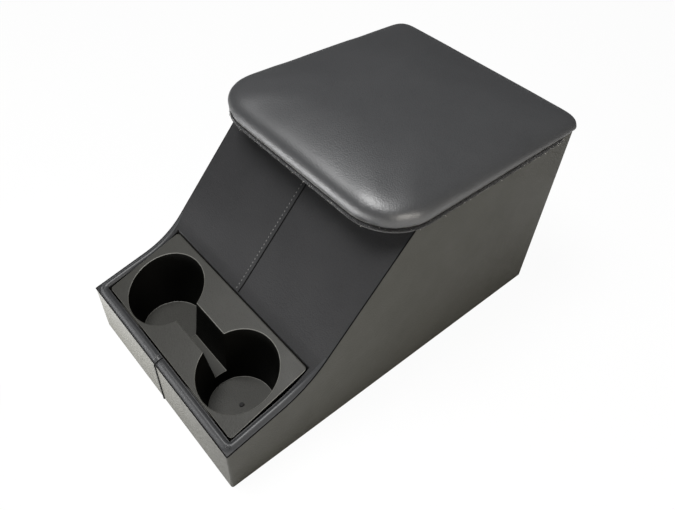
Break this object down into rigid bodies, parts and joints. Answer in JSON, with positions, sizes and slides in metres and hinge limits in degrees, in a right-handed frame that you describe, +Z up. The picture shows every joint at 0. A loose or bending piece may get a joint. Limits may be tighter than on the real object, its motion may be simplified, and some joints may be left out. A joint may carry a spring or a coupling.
{
  "type": "cubby box",
  "caption": "Black vinyl covered centre cubby box for a vehicle: padded lid hinged at the rear over a carpeted bin, with a sloped front and a drop-in cup holder tray.",
  "frame": {"origin": "centre of the whole box's footprint, on the surface that it stands on", "axes": "+Z up, +X across the box to the right seen from the cup end, -Y towards the cup end, +Y towards the hinge"},
  "size_m": [0.27, 0.459, 0.2665],
  "materials": {
    "vinyl": "grained black vinyl",
    "tray_plastic": "fine moulded grain",
    "board": "bare board",
    "carpet": "needle felt carpet",
    "foam": "open cell foam",
    "hinge_steel": "plated",
    "screw_black": "black coated"
  },
  "bodies": {
    "box": {"left_band_cover": "vinyl", "right_band_cover": "vinyl", "left_top_cover": "vinyl", "right_top_cover": "vinyl", "rear_cover": "vinyl", "cup_holder_tray": "tray_plastic", "base_board": "board", "left_side_board": "board", "right_side_board": "board", "front_board": "board", "rear_board": "board", "slope_panel": "board", "cup_bay_divider": "board", "floor_carpet": "carpet", "left_carpet": "carpet", "right_carpet": "carpet", "front_carpet": "carpet", "rear_carpet": "carpet", "hinge_box_leaf": "hinge_steel", "hinge_pin": "hinge_steel", "tray_screws": "screw_black", "hinge_box_screws": "screw_black"},
    "lid": {"lid_board": "board", "lid_foam": "foam", "lid_cover": "vinyl", "lid_carpet": "carpet", "hinge_lid_leaf": "hinge_steel", "hinge_lid_screws": "screw_black"}
  },
  "joints": [
    {"name": "lid_hinge", "type": "hinge", "parent": "box", "child": "lid", "pos_m": [0, 0.2255, 0.2286], "axis": [-1, 0, 0], "range_deg": [0, 110]}
  ]
}
